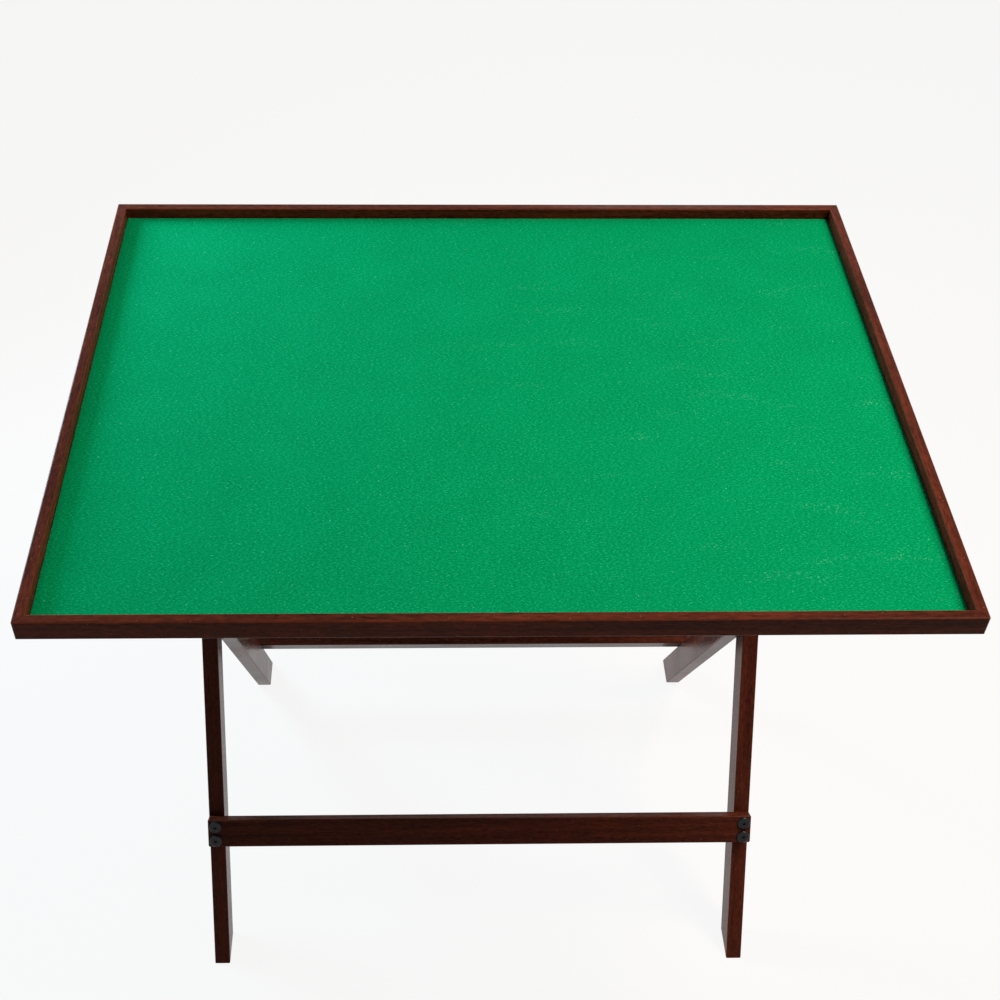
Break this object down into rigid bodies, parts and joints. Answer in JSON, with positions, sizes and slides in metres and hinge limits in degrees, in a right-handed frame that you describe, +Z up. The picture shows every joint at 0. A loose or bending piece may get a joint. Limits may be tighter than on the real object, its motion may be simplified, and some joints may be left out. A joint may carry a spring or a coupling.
{
  "type": "folding puzzle table",
  "caption": "Folding table with a felt top in a raised wooden rim, on crossed leg frames that scissor shut as the top swings up.",
  "frame": {"origin": "on the floor under the middle of the tabletop", "axes": "+X to the right along the table's width, +Y away from the person sitting at it, +Z up"},
  "size_m": [0.87, 0.674, 0.736],
  "materials": {
    "stained_wood": "dark mahogany stain under satin lacquer",
    "board": "bare hardboard",
    "felt": "green felt",
    "black_steel": "black oxide",
    "zinc_steel": "bright zinc plate",
    "nylon": "moulded nylon"
  },
  "bodies": {
    "outer_frame": {"leg_outer_left": "stained_wood", "leg_outer_right": "stained_wood", "stretcher_front": "stained_wood", "stretcher_bolts_front": "black_steel", "inserts_outer": "zinc_steel", "hinge_bolts": "black_steel", "pivot_bolts": "black_steel", "pivot_nuts": "zinc_steel", "spacer_washers": "nylon"},
    "inner_frame": {"leg_inner_left": "stained_wood", "leg_inner_right": "stained_wood", "stretcher_rear": "stained_wood", "stretcher_bolts_rear": "black_steel", "inserts_inner": "zinc_steel", "crossbar": "stained_wood", "crossbar_screws": "zinc_steel"},
    "tabletop": {"base_board": "board", "felt_surface": "felt", "rail_front": "stained_wood", "rail_back": "stained_wood", "rail_left": "stained_wood", "rail_right": "stained_wood", "hinge_block_left": "stained_wood", "hinge_block_right": "stained_wood", "saddle_block_left": "stained_wood", "saddle_block_right": "stained_wood", "block_screws": "zinc_steel"}
  },
  "joints": [
    {"name": "top_hinge", "type": "hinge", "parent": "outer_frame", "child": "tabletop", "pos_m": [0, 0.18302, 0.6935], "axis": [-1, 0, 0], "range_deg": [0, 121.5]},
    {"name": "leg_pivot", "type": "hinge", "parent": "outer_frame", "child": "inner_frame", "pos_m": [0, -0.014, 0.372], "axis": [-1, 0, 0], "range_deg": [0, 62.5]}
  ],
  "couplings": [
    {"joint": "leg_pivot", "follows": "top_hinge", "ratio": 0.51439}
  ]
}
